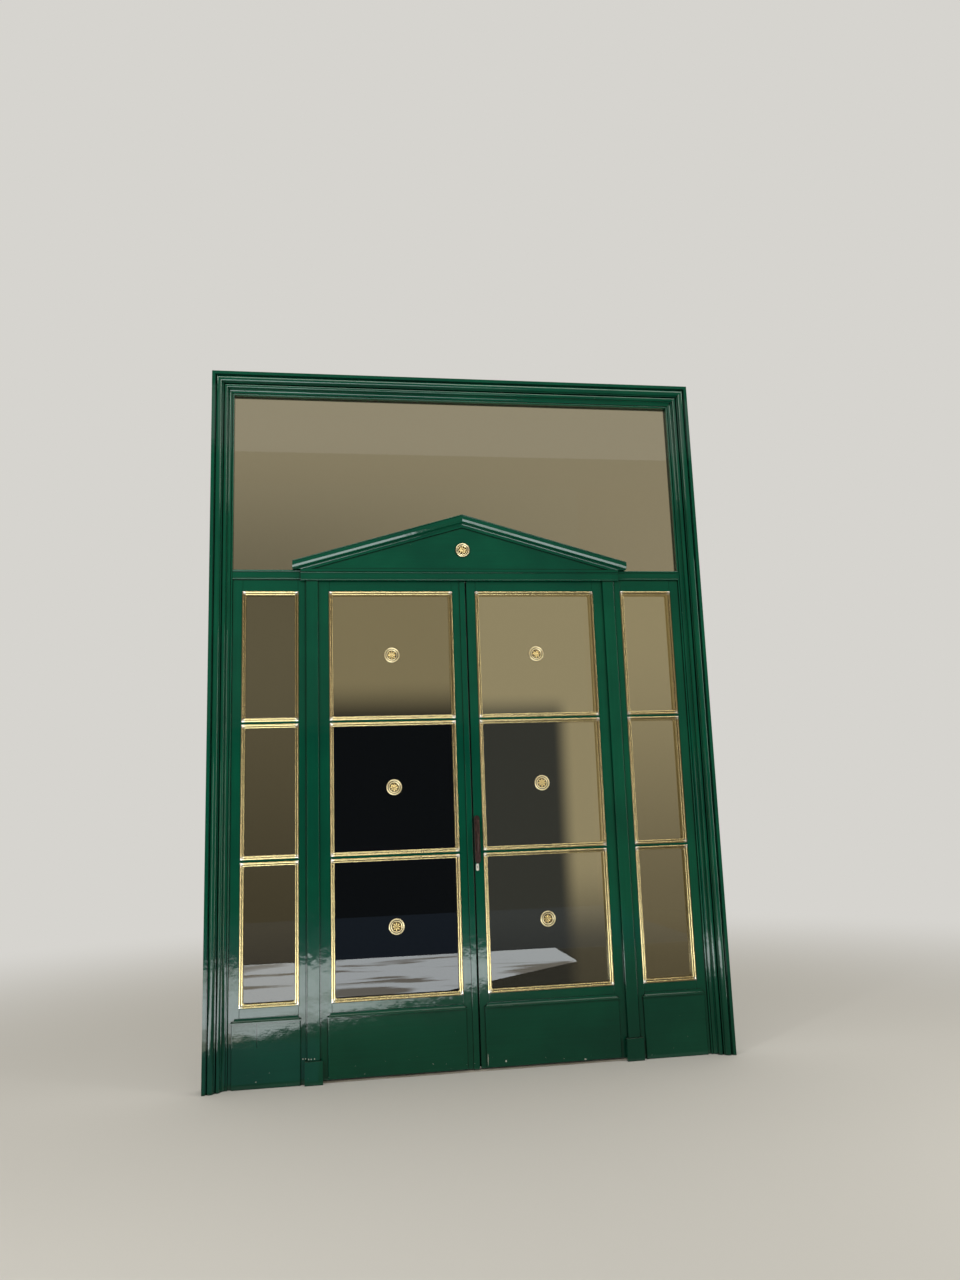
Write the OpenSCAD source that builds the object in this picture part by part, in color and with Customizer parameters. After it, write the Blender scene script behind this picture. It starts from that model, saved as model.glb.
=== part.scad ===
// Glazed double entrance door in a moulded timber screen: two leaves between pilasters
// under a pediment, fixed sidelights, and one large transom light above.
// Millimetres. X runs to the right, Y into the building, Z up. The origin is on the floor,
// under the middle of the threshold, and the plane y = 0 is the front of stiles and leaves.

/* [Screen] */
// Width over the outer edges of the casing
screen_w = 2870; // [2600:10:3200]
// Height from the floor to the top of the casing
screen_h = 3940; // [3700:10:4300]
// Thickness of posts, rails and leaves
frame_t = 50; // [45:1:56]
// Underside of the transom rail
rail_bottom = 2712; // [2700:1:2730]
// Top of the transom rail
rail_top = 2768; // [2760:1:2790]
// Distance of the transom rail's face in front of the stiles
rail_proud = 8; // [6:1:10]

/* [Casing] */
// Width of the moulded casing
casing_w = 122; // [118:1:140]
// Projection of the casing in front of the stiles
casing_proud = 65; // [60:1:75]

/* [Pilasters] */
// Distance of a pilaster's middle from the middle of the doorway
pilaster_x = 871; // [868:1:874]
// Width of a pilaster
pilaster_w = 66; // [60:1:68]
// Projection of a pilaster
pilaster_proud = 18; // [14:1:22]
// Lap of a pilaster past the post behind it, over the gap beside a leaf
pilaster_lap = 14; // [12:1:16]
// Gap between a leaf's face and what laps over it
lap_clear = 6; // [5:1:8]
// Distance of a mullion's outer side from the middle of the doorway
mullion_outer = 911; // [906:1:916]
// Width of a plinth block
plinth_w = 96; // [90:1:98]
// Height of a plinth block
plinth_h = 118; // [100:1:140]
// Projection of a plinth block
plinth_proud = 34; // [30:1:40]

/* [Pediment] */
// Height of the peak above the floor
peak_z = 3095; // [3080:1:3120]
// Distance of the cornice's cut ends from the middle
pediment_half = 980; // [960:1:1000]
// Slope of the raking cornices in degrees
pediment_slope = 16.1; // [15.5:0.1:16.5]
// Depth of the cornice moulding, square to its slope
cornice_band = 70; // [68:1:74]
// Thickness of the tympanum board
tympanum_t = 22; // [18:1:26]
// Half the length of the entablature
entablature_half = 935; // [925:1:945]
// Lowest line of the entablature
entablature_bottom = 2703; // [2700:1:2706]
// Projection of the entablature's cap
entablature_proud = 32; // [30:1:40]

/* [Panes] */
// Upper edge of each row of beads
pane_tops = [2644, 1890, 1146];
// Lower edge of each row of beads
pane_bottoms = [1902, 1158, 396];
// Inner and outer edge of the beads in a sidelight
side_pane = [946, 1260];
// Inner and outer edge of the beads in a leaf
leaf_pane = [67, 778];
// Thickness of the panes in leaves and sidelights
glass_t = 6; // [5:1:8]
// Thickness of the transom pane
transom_glass_t = 8; // [6:1:10]
// Depth of the transom pane behind the plane of the stiles
transom_glass_y = 18; // [14:1:22]
// Depth of the rebate that holds the transom pane
rebate = 12; // [10:1:15]

/* [Brass beads] */
// Width of a bead
bead_w = 22; // [21:1:24]
// Overlap of a bead on the timber around it
bead_lip = 4; // [3:1:5]
// Radius of the outer round of a bead
outer_round = 6; // [5.5:0.5:6]
// Distance of the inner round behind the outer one
inner_set_back = 3; // [2:0.5:4]
// Radius of the corners inside a bead
pane_corner_r = 10; // [6:1:14]

/* [Leaves] */
// Offset of the meeting line from the middle, towards the leaf that opens first
meeting_x = 13; // [8:1:14]
// Gap between the two leaves
meeting_gap = 9; // [9:1:10]
// Gap between a leaf and the post beside it
hinge_gap = 6; // [5:1:7]
// Top of the leaves
leaf_top = 2706; // [2704:1:2707]
// Underside of the leaves
leaf_bottom = 14; // [14:1:20]
// Width of the strip on the meeting edge of the left leaf
strip_w = 32; // [28:1:34]
// Projection of the meeting strip
strip_proud = 7; // [6:1:9]
// Height of the threshold
threshold_h = 8; // [6:1:8]

/* [Kick panels] */
// Projection of a panel's face
panel_proud = 12; // [10:1:15]
// Radius of a panel's upright edges
panel_round = 6; // [4:1:8]
// Underside of the drip moulding
drip_z = 326; // [320:1:330]
// Height of the drip moulding
drip_h = 24; // [22:1:26]
// Projection of the drip moulding
drip_proud = 22; // [20:1:24]
// Inner and outer edge of a sidelight's panel
side_panel = [938, 1295];
// Inner and outer edge of the left leaf's panel
left_panel = [56, 797];
// Inner and outer edge of the right leaf's panel
right_panel = [46, 797];
// Top of the rail under the panes' lowest beads
kick_rail_bottom = 338; // [334:1:342]

/* [Rosettes] */
// Diameter of a rosette on a pane
rosette_d = 87; // [80:1:90]
// Diameter of the rosette on the tympanum
tympanum_rosette_d = 82; // [78:1:90]
// Height of the rosette on the tympanum
tympanum_rosette_z = 2886; // [2880:1:2892]

/* [Ironmongery] */
// Middle of the pull handle's back plate, across and up
handle_at = [35, 1222];
// Length of the handle's back plate
handle_plate_h = 260; // [240:1:264]
// Width of the handle's back plate
handle_plate_w = 30; // [26:1:32]
// Height of the grip's middle above the middle of the plate
grip_up = 15; // [0:1:20]
// Height between the feet of the grip
grip_span = 175; // [165:1:185]
// Distance of the grip's feet in front of the plate
grip_reach = 26; // [22:1:32]
// Radius of the grip
grip_r = 8; // [7:0.5:9]
// Middle of the keyhole plate, across and up
keyhole_at = [31, 1070];
// Heights of the hinges
hinge_z = [290, 1360, 2430];
// Length of a hinge
hinge_h = 110; // [90:1:130]
// Radius of a hinge's knuckles
knuckle_r = 7; // [6:0.5:7]

/* [Hidden] */
$fn = 48;

paint = "#0b4a35";
brass = "#c9a558";
bronze = "#4a342a";
nickel = "#d8d0c0";
stone = "#8c8578";

half_w = screen_w / 2;
light_half = half_w - casing_w;
light_top = screen_h - casing_w;
past = 1;

mullion_inner = pilaster_x - pilaster_w / 2 + pilaster_lap;
leaf_hinge_edge = mullion_inner - hinge_gap;
left_meeting_edge = meeting_x - meeting_gap / 2;
right_meeting_edge = meeting_x + meeting_gap / 2;
hinge_x = mullion_inner - hinge_gap / 2;
hinge_y = frame_t + knuckle_r;
hinge_leaf_w = 34;
hinge_leaf_t = 3;

rows = [0, 1, 2];
glass_y = (frame_t - glass_t) / 2;
inner_round = bead_w / 2 - outer_round;
floor_rail_h = 70;
panel_core_t = 30;
leaf_panel_foot = 20;

// Solid between two opposite corners
module block(low, high) {
    translate(low) cube(high - low);
}

// Profile drawn as (projection, height), run along X from x = 0
module along_x(length) {
    rotate([90, 0, 90]) linear_extrude(height = length) mirror([1, 0]) children();
}

// Outline drawn as (x, z), given a thickness from y = back to y = front, front being the lower
module facing(front, back) {
    translate([0, back, 0]) rotate([90, 0, 0]) linear_extrude(height = back - front) children();
}

// Copy on the other side of the middle
module on_side(side) {
    if (side == "left") children();
    else mirror([1, 0, 0]) children();
}

// Casing: moulding drawn as (distance from the outer edge, projection)
module casing_profile() {
    fascia_w = 18;
    quirk_w = 4;
    quirk_depth = 7;
    large_r = 18;
    small_r = 12;
    step_w = 6;
    cove_r = 18;
    inner_bead_r = 5;
    fillet = 4;
    crest_drop = 1;
    small_drop = 16;
    cove_drop = 2;
    large_x = fascia_w + quirk_w + large_r;
    large_y = casing_proud - large_r - crest_drop;
    small_x = large_x + large_r + step_w + small_r;
    small_y = large_y - small_drop;
    cove_x = small_x + small_r + fillet;
    cove_y = small_y - cove_drop;
    bead_x = casing_w - inner_bead_r;
    bead_y = cove_y - cove_r - fillet;
    square([fascia_w, casing_proud]);
    square([fascia_w + quirk_w, casing_proud - quirk_depth]);
    square([large_x + large_r, large_y]);
    translate([large_x, large_y]) circle(large_r);
    square([small_x - small_r, large_y]);
    square([small_x + small_r, small_y]);
    translate([small_x, small_y]) circle(small_r);
    square([cove_x, cove_y]);
    difference() {
        square([cove_x + cove_r, cove_y]);
        translate([cove_x + cove_r, cove_y]) circle(cove_r);
    }
    square([casing_w, bead_y]);
    translate([bead_x, bead_y]) circle(inner_bead_r);
}

module casing_upright() {
    color(paint) intersection() {
        translate([-half_w, 0, 0]) linear_extrude(height = screen_h) mirror([0, 1]) casing_profile();
        facing(-casing_proud - past, past) polygon([
            [-half_w - past, 0], [-half_w - past, screen_h + past],
            [-light_half, light_top], [-light_half, 0]]);
    }
}

module left_casing() {
    casing_upright();
}

module right_casing() {
    mirror([1, 0, 0]) casing_upright();
}

module head_casing() {
    color(paint) intersection() {
        translate([-half_w, 0, screen_h]) along_x(screen_w)
            mirror([0, 1]) rotate(90) mirror([0, 1]) casing_profile();
        facing(-casing_proud - past, past) polygon([
            [-half_w - past, screen_h + past], [half_w + past, screen_h + past],
            [light_half, light_top], [-light_half, light_top]]);
    }
}

// Rebate for the transom pane, cut from the back of the four members around it
module transom_rebate() {
    block([-light_half - rebate, transom_glass_y, rail_top - rebate],
        [light_half + rebate, frame_t + past, light_top + rebate]);
}

module jamb_post() {
    color(paint) difference() {
        block([-half_w, 0, 0], [-light_half, frame_t, screen_h]);
        transom_rebate();
    }
}

module left_jamb() {
    jamb_post();
}

module right_jamb() {
    mirror([1, 0, 0]) jamb_post();
}

module head_rail() {
    color(paint) difference() {
        block([-light_half, 0, light_top], [light_half, frame_t, screen_h]);
        transom_rebate();
    }
}

// Transom rail: a band with a bead along its top and another along its foot, on both sides of
// the entablature
module transom_rail() {
    top_bead_r = 6;
    foot_bead_r = 4;
    side_l = light_half - entablature_half;
    color(paint) union() {
        difference() {
            block([-light_half, -rail_proud, rail_bottom], [light_half, frame_t, rail_top]);
            transom_rebate();
        }
        for (x = [-light_half, entablature_half]) translate([x, 0, 0]) along_x(side_l) {
            translate([rail_proud, rail_bottom + foot_bead_r]) circle(foot_bead_r);
            translate([rail_proud, rail_top - top_bead_r]) circle(top_bead_r);
        }
    }
}

// Entablature: moulding drawn as (projection, height above its lowest line)
module entablature_profile() {
    height = rail_top - entablature_bottom;
    cap_h = 14;
    cap_over = 6;
    bead_r = 4;
    foot_bead_r = 3;
    fascia_proud = entablature_proud - cap_over;
    translate([rail_proud, 0]) square([fascia_proud - rail_proud, height]);
    translate([fascia_proud, height - cap_h - bead_r]) circle(bead_r);
    translate([fascia_proud, foot_bead_r]) circle(foot_bead_r);
    translate([rail_proud, height - cap_h]) square([entablature_proud - rail_proud, cap_h]);
}

module entablature() {
    color(paint) translate([-entablature_half, 0, entablature_bottom])
        along_x(2 * entablature_half) entablature_profile();
}

module mullion() {
    color(paint) block([-mullion_outer, 0, 0], [-mullion_inner, frame_t, rail_bottom]);
}

module left_mullion() {
    mullion();
}

module right_mullion() {
    mirror([1, 0, 0]) mullion();
}

// Pilaster: a flat face with a small round on each long edge, rebated where it laps over the leaf
module pilaster() {
    edge_r = 3;
    color(paint) translate([-pilaster_x, 0, plinth_h])
        linear_extrude(height = entablature_bottom - plinth_h) difference() {
            union() {
                translate([-pilaster_w / 2, edge_r - pilaster_proud])
                    square([pilaster_w, pilaster_proud - edge_r]);
                translate([edge_r - pilaster_w / 2, -pilaster_proud])
                    square([pilaster_w - 2 * edge_r, pilaster_proud]);
                for (side = [-1, 1])
                    translate([side * (pilaster_w / 2 - edge_r), edge_r - pilaster_proud]) circle(edge_r);
            }
            translate([pilaster_w / 2 - pilaster_lap, -lap_clear])
                square([pilaster_lap + past, lap_clear + past]);
        }
}

module left_pilaster() {
    pilaster();
}

module right_pilaster() {
    mirror([1, 0, 0]) pilaster();
}

// Plinth block: it stands clear in front of the leaf's edge
module plinth_block() {
    inner = pilaster_x - plinth_w / 2;
    outer = pilaster_x + plinth_w / 2;
    color(paint) union() {
        block([-outer, -plinth_proud, 0], [-inner, -lap_clear, plinth_h]);
        block([-outer, -plinth_proud, 0], [-mullion_inner, 0, plinth_h]);
    }
}

module left_plinth_block() {
    plinth_block();
}

module right_plinth_block() {
    mirror([1, 0, 0]) plinth_block();
}

// Raking cornice: moulding drawn as (projection, height below the top)
module cornice_profile() {
    bed_fillet = 8;
    bed_proud = 30;
    cove_r = 18;
    drip_proud_d = 54;
    drip_fillet = 5;
    bevel_out = 6;
    bevel_h = 11;
    corona_h = 30;
    corona_proud = drip_proud_d + bevel_out;
    crown_r = 4;
    translate([0, -cornice_band]) {
        square([bed_proud, cornice_band]);
        difference() {
            translate([0, bed_fillet]) square([bed_proud + cove_r, cornice_band - bed_fillet]);
            translate([bed_proud + cove_r, bed_fillet]) circle(cove_r);
        }
        translate([0, bed_fillet + cove_r])
            square([drip_proud_d, cornice_band - bed_fillet - cove_r]);
        translate([drip_proud_d, bed_fillet + cove_r + drip_fillet])
            polygon([[-past, 0], [0, 0], [bevel_out, bevel_h], [bevel_out, corona_h], [-past, corona_h]]);
        translate([0, cornice_band - 2 * crown_r]) square([corona_proud - crown_r, 2 * crown_r]);
        translate([corona_proud - crown_r, cornice_band - crown_r]) circle(crown_r);
    }
}

module raking_cornice() {
    spare = 120;
    reach = pediment_half + spare;
    color(paint) intersection() {
        translate([0, 0, peak_z]) rotate([0, -pediment_slope, 0])
            translate([-reach, 0, 0]) along_x(reach + spare) cornice_profile();
        block([-pediment_half, -casing_proud - past, rail_top], [0, past, peak_z + past]);
    }
}

module left_raking_cornice() {
    raking_cornice();
}

module right_raking_cornice() {
    mirror([1, 0, 0]) raking_cornice();
}

module tympanum() {
    tip_z = peak_z - cornice_band / cos(pediment_slope);
    foot_x = (tip_z - rail_top) / tan(pediment_slope);
    color(paint) facing(-tympanum_t, 0)
        polygon([[-foot_x, rail_top], [foot_x, rail_top], [0, tip_z]]);
}

// Rosette: a broad rim and an inner ring round a dish that holds petals and a boss, its back at y = 0
module rosette(diameter) {
    drawn_d = 87;
    disc_t = 5;
    disc_inset = 0.5;
    rim_r = 4.2;
    ring_r = 2.5;
    ring_at = 25;
    dish_r = ring_at - ring_r;
    dish_floor = 2.5;
    boss_r = 4;
    petals = 8;
    petal_r = 3.6;
    petal_tip_r = 2.8;
    petal_at = [13.5, 0, petal_r];
    petal_tip_at = [8, 0, petal_tip_r];
    rotate([90, 0, 0]) scale(diameter / drawn_d) union() {
        difference() {
            cylinder(r = drawn_d / 2 - disc_inset, h = disc_t);
            translate([0, 0, dish_floor]) cylinder(r = dish_r, h = disc_t);
        }
        rotate_extrude() translate([drawn_d / 2 - rim_r, disc_t]) circle(rim_r, $fn = 24);
        rotate_extrude() translate([ring_at, disc_t]) circle(ring_r, $fn = 24);
        for (i = [0 : petals - 1]) rotate([0, 0, i * 360 / petals]) {
            translate(petal_at) sphere(r = petal_r, $fn = 20);
            translate(petal_tip_at) sphere(r = petal_tip_r, $fn = 20);
        }
        translate([0, 0, boss_r]) sphere(r = boss_r, $fn = 24);
    }
}

module tympanum_rosette() {
    color(brass) translate([0, -tympanum_t, tympanum_rosette_z]) rosette(tympanum_rosette_d);
}

module transom_glass() {
    edge_gap = 2;
    seat = rebate - edge_gap;
    color("#9aa08a", 0.4)
        block([-light_half - seat, transom_glass_y, rail_top - seat],
            [light_half + seat, transom_glass_y + transom_glass_t, light_top + seat]);
}

module transom_beads() {
    bead_y = transom_glass_y + transom_glass_t;
    color(paint) difference() {
        block([-light_half - rebate, bead_y, rail_top - rebate],
            [light_half + rebate, frame_t, light_top + rebate]);
        block([-light_half, bead_y - past, rail_top], [light_half, frame_t + past, light_top]);
    }
}

// Timber opening inside a pair of bead edges
function opening(edges) = [edges[0] + bead_lip, edges[1] - bead_lip];
function opening_top(row) = pane_tops[row] - bead_lip;
function opening_bottom(row) = pane_bottoms[row] + bead_lip;

// Rails, bars and floor rail between two stiles
module cross_rails(edges, bottom, top) {
    x = opening(edges);
    block([-x[1], 0, opening_top(0)], [-x[0], frame_t, top]);
    for (row = [0, 1])
        block([-x[1], 0, opening_top(row + 1)], [-x[0], frame_t, opening_bottom(row)]);
    block([-x[1], 0, kick_rail_bottom], [-x[0], frame_t, opening_bottom(2)]);
    block([-x[1], 0, bottom], [-x[0], frame_t, bottom + floor_rail_h]);
}

module panes(edges) {
    x = opening(edges);
    for (row = rows)
        block([-x[1], glass_y, opening_bottom(row)], [-x[0], glass_y + glass_t, opening_top(row)]);
}

// Outline with round corners, drawn as (x, z)
module round_rect(low, high, corner_r) {
    translate([low[0] + corner_r, low[1]]) square([high[0] - low[0] - 2 * corner_r, high[1] - low[1]]);
    translate([low[0], low[1] + corner_r]) square([high[0] - low[0], high[1] - low[1] - 2 * corner_r]);
    for (x = [low[0] + corner_r, high[0] - corner_r], z = [low[1] + corner_r, high[1] - corner_r])
        translate([x, z]) circle(corner_r);
}

// Section across a whole ring, drawn as (place, depth): a half round along both outer edges
module round_top(low, high, face, radius) {
    translate([low + radius, face - past]) square([high - low - 2 * radius, radius + past]);
    intersection() {
        for (x = [low + radius, high - radius]) translate([x, face]) circle(radius);
        translate([low, face]) square([high - low, radius + past]);
    }
}

// Section across the hollow inside a ring: it starts at the crests and follows their inner sides
module round_hollow(low, high, face, radius) {
    reach = 4 * radius;
    difference() {
        translate([low, face]) square([high - low, reach]);
        for (x = [low, high]) translate([x, face]) circle(radius);
    }
}

// The solid that has one section seen along Z and another seen along X
module crossed(z_low, z_high, x_low, x_high) {
    intersection() {
        translate([0, 0, z_low]) linear_extrude(height = z_high - z_low) mirror([0, 1]) children(0);
        translate([x_low, 0, 0]) rotate([90, 0, 90]) linear_extrude(height = x_high - x_low)
            mirror([1, 0]) rotate(90) mirror([0, 1]) children(1);
    }
}

// Half-round moulding round a rectangle, mitred at its corners; its crest stands radius
// in front of face, and its body runs back to the glass
module half_round_frame(low, high, face, radius, body, corner_r) {
    crest_low = low + [radius, radius];
    crest_high = high - [radius, radius];
    body_low = low + [body, body];
    body_high = high - [body, body];
    x_span = [low[0] - past, high[0] + past];
    z_span = [low[1] - past, high[1] + past];
    difference() {
        union() {
            facing(-face, glass_y) translate(body_low) square(body_high - body_low);
            crossed(z_span[0], z_span[1], x_span[0], x_span[1]) {
                round_top(low[0], high[0], face, radius);
                round_top(low[1], high[1], face, radius);
            }
        }
        crossed(z_span[0], z_span[1], x_span[0], x_span[1]) {
            round_hollow(crest_low[0], crest_high[0], face, radius);
            round_hollow(crest_low[1], crest_high[1], face, radius);
        }
        facing(-face - past, glass_y + past)
            round_rect(crest_low + [radius, radius], crest_high - [radius, radius], corner_r);
    }
}

// Frame of brass bead round one pane: a broad round outside and a second one set back inside it
module bead_ring(edges, row) {
    low = [-edges[1], pane_bottoms[row]];
    high = [-edges[0], pane_tops[row]];
    step = [2 * outer_round, 2 * outer_round];
    union() {
        half_round_frame(low, high, 0, outer_round, bead_lip, past);
        half_round_frame(low + step, high - step, -inner_set_back, inner_round, 0, pane_corner_r);
    }
}

// Beads on both faces of every pane between two stiles
module beads(edges) {
    color(brass) for (row = rows) {
        bead_ring(edges, row);
        translate([0, frame_t, 0]) mirror([0, 1, 0]) bead_ring(edges, row);
    }
}

// Drip moulding with returned ends over a kick panel: concave, standing out most at its foot
module drip_moulding(low_x, high_x) {
    fillet = 5;
    nib = 4;
    cove = drip_proud - nib;
    intersection() {
        translate([low_x, 0, drip_z]) along_x(high_x - low_x) {
            square([nib, drip_h]);
            square([drip_proud, fillet]);
            difference() {
                translate([0, fillet]) square([drip_proud, cove]);
                translate([drip_proud, fillet + cove]) circle(cove);
            }
        }
        facing(-drip_proud - past, past) translate([0, drip_z]) {
            translate([low_x, 0]) square([high_x - low_x, fillet]);
            translate([low_x + cove, 0]) square([high_x - low_x - 2 * cove, drip_h]);
            difference() {
                translate([low_x, fillet]) square([high_x - low_x, cove]);
                for (x = [low_x, high_x]) translate([x, fillet + cove]) circle(cove);
            }
        }
    }
}

// Raised kick panel with rounded upright edges, its core let in between the stiles
module kick_panel(edges, pane_edges, bottom, face_bottom) {
    x = opening(pane_edges);
    low_x = -edges[1];
    high_x = -edges[0];
    drip_over = 4;
    lap = 2;
    color(paint) union() {
        translate([0, 0, face_bottom]) linear_extrude(height = drip_z + lap - face_bottom) {
            translate([low_x + panel_round, -panel_proud])
                square([high_x - low_x - 2 * panel_round, panel_proud]);
            translate([low_x, panel_round - panel_proud])
                square([high_x - low_x, panel_proud - panel_round]);
            for (x = [low_x + panel_round, high_x - panel_round])
                translate([x, panel_round - panel_proud]) circle(panel_round);
        }
        drip_moulding(low_x - drip_over, high_x + drip_over);
        block([-x[1], 0, bottom + floor_rail_h], [-x[0], panel_core_t, kick_rail_bottom]);
    }
}

// Sidelights
module sidelight_stiles() {
    x = opening(side_pane);
    color(paint) for (side = ["left", "right"]) on_side(side) {
        block([-light_half, 0, 0], [-x[1], frame_t, rail_bottom]);
        block([-x[0], 0, 0], [-mullion_outer, frame_t, rail_bottom]);
    }
}

module sidelight_rails() {
    color(paint) for (side = ["left", "right"]) on_side(side) cross_rails(side_pane, 0, rail_bottom);
}

module sidelight_glass() {
    color("#9aa08a", 0.4) for (side = ["left", "right"]) on_side(side) panes(side_pane);
}

module sidelight_beads() {
    for (side = ["left", "right"]) on_side(side) beads(side_pane);
}

// The left panel's board has split along the grain
module left_side_panel() {
    split_x = -1165;
    split_low = 200;
    split_w = 2.6;
    split_depth = 8;
    color(paint) difference() {
        kick_panel(side_panel, side_pane, 0, 0);
        block([split_x, -panel_proud - past, split_low],
            [split_x + split_w, split_depth - panel_proud, drip_z - past]);
    }
}

module right_side_panel() {
    mirror([1, 0, 0]) kick_panel(side_panel, side_pane, 0, 0);
}

module threshold() {
    edge = 6;
    color(stone) translate([-mullion_inner, 0, 0]) along_x(2 * mullion_inner)
        polygon([[-frame_t, 0], [-frame_t, threshold_h], [-edge, threshold_h], [0, 0]]);
}

// Hinge halves: two knuckles, the lower on the frame and the upper on the leaf
module hinge_half(lower) {
    parting = 1;
    knuckle_h = (hinge_h - parting) / 2;
    foot = lower ? -hinge_h / 2 : parting / 2;
    plate_low = lower ? -hinge_x - knuckle_r / 2 - hinge_leaf_w : hinge_gap / 2 - hinge_x;
    plate_high = lower ? -hinge_x - hinge_gap / 2 : hinge_leaf_w + knuckle_r / 2 - hinge_x;
    color(bronze) for (z = hinge_z) translate([0, 0, z]) union() {
        translate([-hinge_x, hinge_y, foot]) cylinder(r = knuckle_r, h = knuckle_h);
        translate([-hinge_x, hinge_y, lower ? -hinge_h / 2 : hinge_h / 2]) sphere(r = knuckle_r);
        block([plate_low, frame_t, foot], [plate_high, frame_t + hinge_leaf_t, foot + knuckle_h]);
    }
}

module frame_hinge_halves() {
    for (side = ["left", "right"]) on_side(side) hinge_half(true);
}

module left_leaf_hinge_halves() {
    hinge_half(false);
}

module right_leaf_hinge_halves() {
    mirror([1, 0, 0]) hinge_half(false);
}

// Stiles of a leaf, drawn for the left one, up to its meeting edge
module leaf_stiles(meeting_edge) {
    x = opening(leaf_pane);
    color(paint) {
        block([-leaf_hinge_edge, 0, leaf_bottom], [-x[1], frame_t, leaf_top]);
        block([-x[0], 0, leaf_bottom], [meeting_edge, frame_t, leaf_top]);
    }
}

module leaf_rosettes() {
    color(brass) for (row = rows)
        translate([-(leaf_pane[0] + leaf_pane[1]) / 2, glass_y, (pane_tops[row] + pane_bottoms[row]) / 2])
            rosette(rosette_d);
}

module left_leaf_stiles() {
    leaf_stiles(left_meeting_edge);
}

module left_leaf_rails() {
    color(paint) cross_rails(leaf_pane, leaf_bottom, leaf_top);
}

module left_leaf_panel() {
    kick_panel(left_panel, leaf_pane, leaf_bottom, leaf_panel_foot);
}

module left_leaf_glass() {
    color("#9aa08a", 0.4) panes(leaf_pane);
}

module left_leaf_beads() {
    beads(leaf_pane);
}

module left_leaf_rosettes() {
    leaf_rosettes();
}

module right_leaf_stiles() {
    mirror([1, 0, 0]) leaf_stiles(-right_meeting_edge);
}

module right_leaf_rails() {
    color(paint) mirror([1, 0, 0]) cross_rails(leaf_pane, leaf_bottom, leaf_top);
}

module right_leaf_panel() {
    mirror([1, 0, 0]) kick_panel(right_panel, leaf_pane, leaf_bottom, leaf_panel_foot);
}

module right_leaf_glass() {
    color("#9aa08a", 0.4) mirror([1, 0, 0]) panes(leaf_pane);
}

module right_leaf_beads() {
    mirror([1, 0, 0]) beads(leaf_pane);
}

module right_leaf_rosettes() {
    mirror([1, 0, 0]) leaf_rosettes();
}

// Strip along the left leaf's meeting edge, round on both long edges
module meeting_strip() {
    edge_r = 3;
    end_gap = 6;
    color(paint) translate([left_meeting_edge - strip_w, 0, leaf_bottom])
        linear_extrude(height = leaf_top - end_gap - leaf_bottom) {
            translate([0, edge_r - strip_proud]) square([strip_w, strip_proud - edge_r]);
            translate([edge_r, -strip_proud]) square([strip_w - 2 * edge_r, strip_proud]);
            for (x = [edge_r, strip_w - edge_r]) translate([x, edge_r - strip_proud]) circle(edge_r);
        }
}

// Upright plate with round ends, its back at y = 0
module round_ended_plate(width, height, thickness) {
    facing(-thickness, 0) {
        square([width, height - width], center = true);
        for (side = [-1, 1]) translate([0, side * (height - width) / 2]) circle(width / 2);
    }
}

// Pull handle: a back plate with a grip that bows out between two feet
module pull_handle() {
    plate_t = 5;
    bow = 16;
    post_r = grip_r - 1;
    knop_r = grip_r + 2;
    bow_r = (grip_span * grip_span / 4 + bow * bow) / (2 * bow);
    bow_angle = 2 * asin(grip_span / 2 / bow_r);
    color(bronze) translate([handle_at[0], 0, handle_at[1]]) union() {
        round_ended_plate(handle_plate_w, handle_plate_h, plate_t);
        for (side = [-1, 1]) translate([0, 0, grip_up + side * grip_span / 2]) {
            rotate([90, 0, 0]) cylinder(r = post_r, h = plate_t + grip_reach);
            translate([0, -plate_t - grip_reach, 0]) sphere(r = knop_r);
        }
        translate([0, bow_r - bow - plate_t - grip_reach, grip_up]) rotate([0, 90, 0])
            rotate([0, 0, -90 - bow_angle / 2]) rotate_extrude(angle = bow_angle)
                translate([bow_r, 0]) circle(grip_r);
    }
}

// Oval plate round the keyhole
module keyhole_plate() {
    plate = [15, 39, 3];
    key_r = 2.5;
    key_up = 3;
    slot = [2.5, 9];
    color(nickel) translate([keyhole_at[0], 0, keyhole_at[1]]) difference() {
        round_ended_plate(plate[0], plate[1], plate[2]);
        facing(-plate[2] - past, past) {
            translate([0, key_up]) circle(key_r);
            translate([-slot[0] / 2, key_up - slot[1]]) square(slot);
        }
    }
}

left_casing();
right_casing();
head_casing();
left_jamb();
right_jamb();
head_rail();
transom_rail();
entablature();
left_mullion();
right_mullion();
left_pilaster();
right_pilaster();
left_plinth_block();
right_plinth_block();
tympanum();
left_raking_cornice();
right_raking_cornice();
tympanum_rosette();
transom_glass();
transom_beads();
sidelight_stiles();
sidelight_rails();
sidelight_glass();
sidelight_beads();
left_side_panel();
right_side_panel();
threshold();
frame_hinge_halves();
left_leaf_stiles();
left_leaf_rails();
left_leaf_panel();
left_leaf_glass();
left_leaf_beads();
left_leaf_rosettes();
left_leaf_hinge_halves();
meeting_strip();
right_leaf_stiles();
right_leaf_rails();
right_leaf_panel();
right_leaf_glass();
right_leaf_beads();
right_leaf_rosettes();
right_leaf_hinge_halves();
pull_handle();
keyhole_plate();
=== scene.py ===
# Finishes, small parts and studio for a glazed double entrance door in a moulded timber screen.
# Metres, in the part's own frame: X to the right, Y into the building, Z up.
import math

import bmesh
import bpy
from mathutils import Matrix, Vector


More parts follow.
